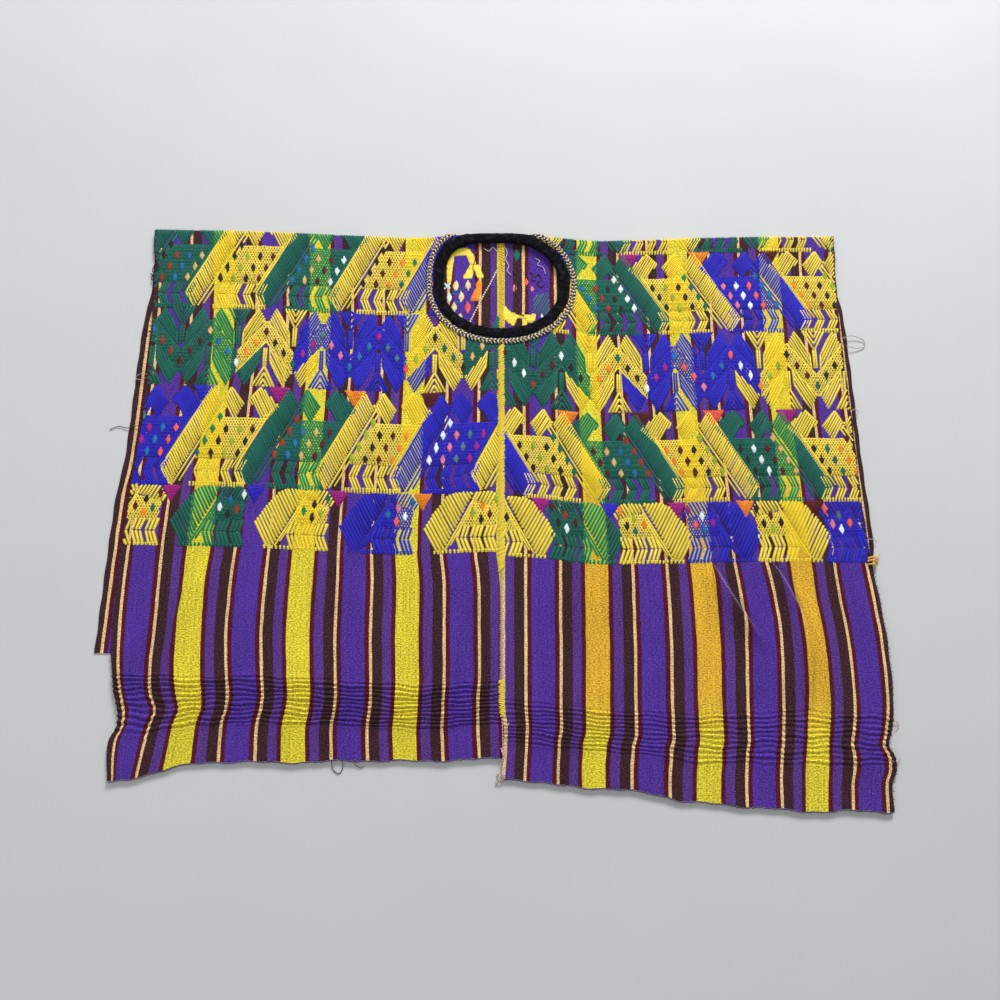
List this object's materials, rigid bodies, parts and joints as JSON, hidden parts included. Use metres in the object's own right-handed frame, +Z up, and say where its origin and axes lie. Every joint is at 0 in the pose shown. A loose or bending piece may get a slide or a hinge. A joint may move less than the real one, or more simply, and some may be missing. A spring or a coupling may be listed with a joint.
{
  "type": "huipil blouse",
  "caption": "Handwoven huipil laid flat, front up: striped, brocaded cloth folded at the shoulders, joined down the middle, with a bound round neck and open armholes.",
  "frame": {"origin": "under the middle of the laid-out garment, on the surface it lies on", "axes": "+X across the garment to its right side in the picture, +Y from the hems to the shoulder fold, +Z up from the surface"},
  "size_m": [0.8948, 0.698, 0.0114],
  "materials": {
    "cloth": "matte weft-ribbed weave, striped lengthways, with brocade floats",
    "velvet": "short black pile",
    "braid": "crocheted cord with a dull gold glint"
  },
  "bodies": {
    "root": {"left_panel": "cloth", "right_panel": "cloth", "neck_binding": "velvet", "neck_braid": "braid"}
  },
  "joints": []
}
